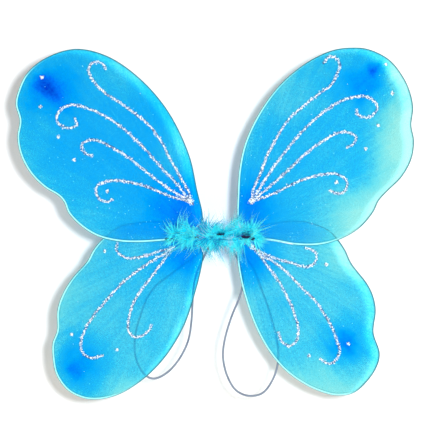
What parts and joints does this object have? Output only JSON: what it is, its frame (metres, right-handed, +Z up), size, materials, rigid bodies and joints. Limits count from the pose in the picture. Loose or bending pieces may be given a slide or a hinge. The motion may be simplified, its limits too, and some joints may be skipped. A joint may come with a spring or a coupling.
{
  "type": "fairy wings",
  "caption": "Dress-up fairy wings: four sheer nylon-covered wire loops bound at the middle, with glitter scrolls, a marabou feather trim and elastic arm loops.",
  "frame": {"origin": "centre of the flat back of the centre binding, the face that rests against the wearer's back", "axes": "+X to the right seen from the decorated front, across the wings; +Y towards the wearer; +Z up"},
  "size_m": [0.4486, 0.0282, 0.3984],
  "materials": {
    "coated_wire": "satin white coating",
    "sheer_nylon": "sheer stretched knit, dyed unevenly",
    "gathered_nylon": "gathered knit, many layers",
    "tie_thread": "wound thread",
    "binding_tape": "wound cloth tape",
    "twisted_wire": "drawn wire",
    "hot_glue": "translucent glue",
    "marabou_down": "downy feather barbs",
    "glitter_glue": "iridescent flakes in clear glue",
    "elastic_cord": "round braided elastic"
  },
  "bodies": {
    "centre": {"centre_binding": "binding_tape", "centre_wire_twist": "twisted_wire", "feather_glue_pad": "hot_glue", "centre_feather_trim": "marabou_down"},
    "left_side": {"left_side_binding": "binding_tape", "left_feather_trim": "marabou_down", "left_elastic_knot": "elastic_cord", "left_elastic_loop": "elastic_cord"},
    "right_side": {"right_side_binding": "binding_tape", "right_feather_trim": "marabou_down", "right_elastic_knot": "elastic_cord", "right_elastic_loop": "elastic_cord"},
    "upper_left_wing": {"upper_left_wire_frame": "coated_wire", "upper_left_nylon_cover": "sheer_nylon", "upper_left_nylon_gather": "gathered_nylon", "upper_left_root_tie": "tie_thread", "upper_left_glitter_scrolls": "glitter_glue", "upper_left_glitter_dot_1": "glitter_glue", "upper_left_glitter_dot_2": "glitter_glue", "upper_left_glitter_dot_3": "glitter_glue", "upper_left_glitter_dot_4": "glitter_glue", "upper_left_glitter_dot_5": "glitter_glue"},
    "upper_right_wing": {"upper_right_wire_frame": "coated_wire", "upper_right_nylon_cover": "sheer_nylon", "upper_right_nylon_gather": "gathered_nylon", "upper_right_root_tie": "tie_thread", "upper_right_glitter_scrolls": "glitter_glue", "upper_right_glitter_dot_1": "glitter_glue", "upper_right_glitter_dot_2": "glitter_glue", "upper_right_glitter_dot_3": "glitter_glue", "upper_right_glitter_dot_4": "glitter_glue", "upper_right_glitter_dot_5": "glitter_glue"},
    "lower_left_wing": {"lower_left_wire_frame": "coated_wire", "lower_left_nylon_cover": "sheer_nylon", "lower_left_nylon_gather": "gathered_nylon", "lower_left_root_tie": "tie_thread", "lower_left_glitter_scrolls": "glitter_glue", "lower_left_glitter_dot_1": "glitter_glue", "lower_left_glitter_dot_2": "glitter_glue", "lower_left_glitter_dot_3": "glitter_glue"},
    "lower_right_wing": {"lower_right_wire_frame": "coated_wire", "lower_right_nylon_cover": "sheer_nylon", "lower_right_nylon_gather": "gathered_nylon", "lower_right_root_tie": "tie_thread", "lower_right_glitter_scrolls": "glitter_glue", "lower_right_glitter_dot_1": "glitter_glue", "lower_right_glitter_dot_2": "glitter_glue", "lower_right_glitter_dot_3": "glitter_glue"}
  },
  "joints": [
    {"name": "left_fold", "type": "hinge", "parent": "centre", "child": "left_side", "pos_m": [-0.011, -0.0097, 0], "axis": [0, 0, 1], "range_deg": [-20, 70]},
    {"name": "upper_left_fan", "type": "hinge", "parent": "left_side", "child": "upper_left_wing", "pos_m": [-0.01619, -0.01006, 0], "axis": [-0.0698, 0.9976, 0], "range_deg": [-12, 12]},
    {"name": "lower_left_fan", "type": "hinge", "parent": "left_side", "child": "lower_left_wing", "pos_m": [-0.01619, -0.01006, 0], "axis": [-0.0698, 0.9976, 0], "range_deg": [-12, 12]},
    {"name": "right_fold", "type": "hinge", "parent": "centre", "child": "right_side", "pos_m": [0.011, -0.0097, 0], "axis": [0, 0, -1], "range_deg": [-20, 70]},
    {"name": "upper_right_fan", "type": "hinge", "parent": "right_side", "child": "upper_right_wing", "pos_m": [0.01619, -0.01006, 0], "axis": [-0.0698, -0.9976, 0], "range_deg": [-12, 12]},
    {"name": "lower_right_fan", "type": "hinge", "parent": "right_side", "child": "lower_right_wing", "pos_m": [0.01619, -0.01006, 0], "axis": [-0.0698, -0.9976, 0], "range_deg": [-12, 12]}
  ]
}
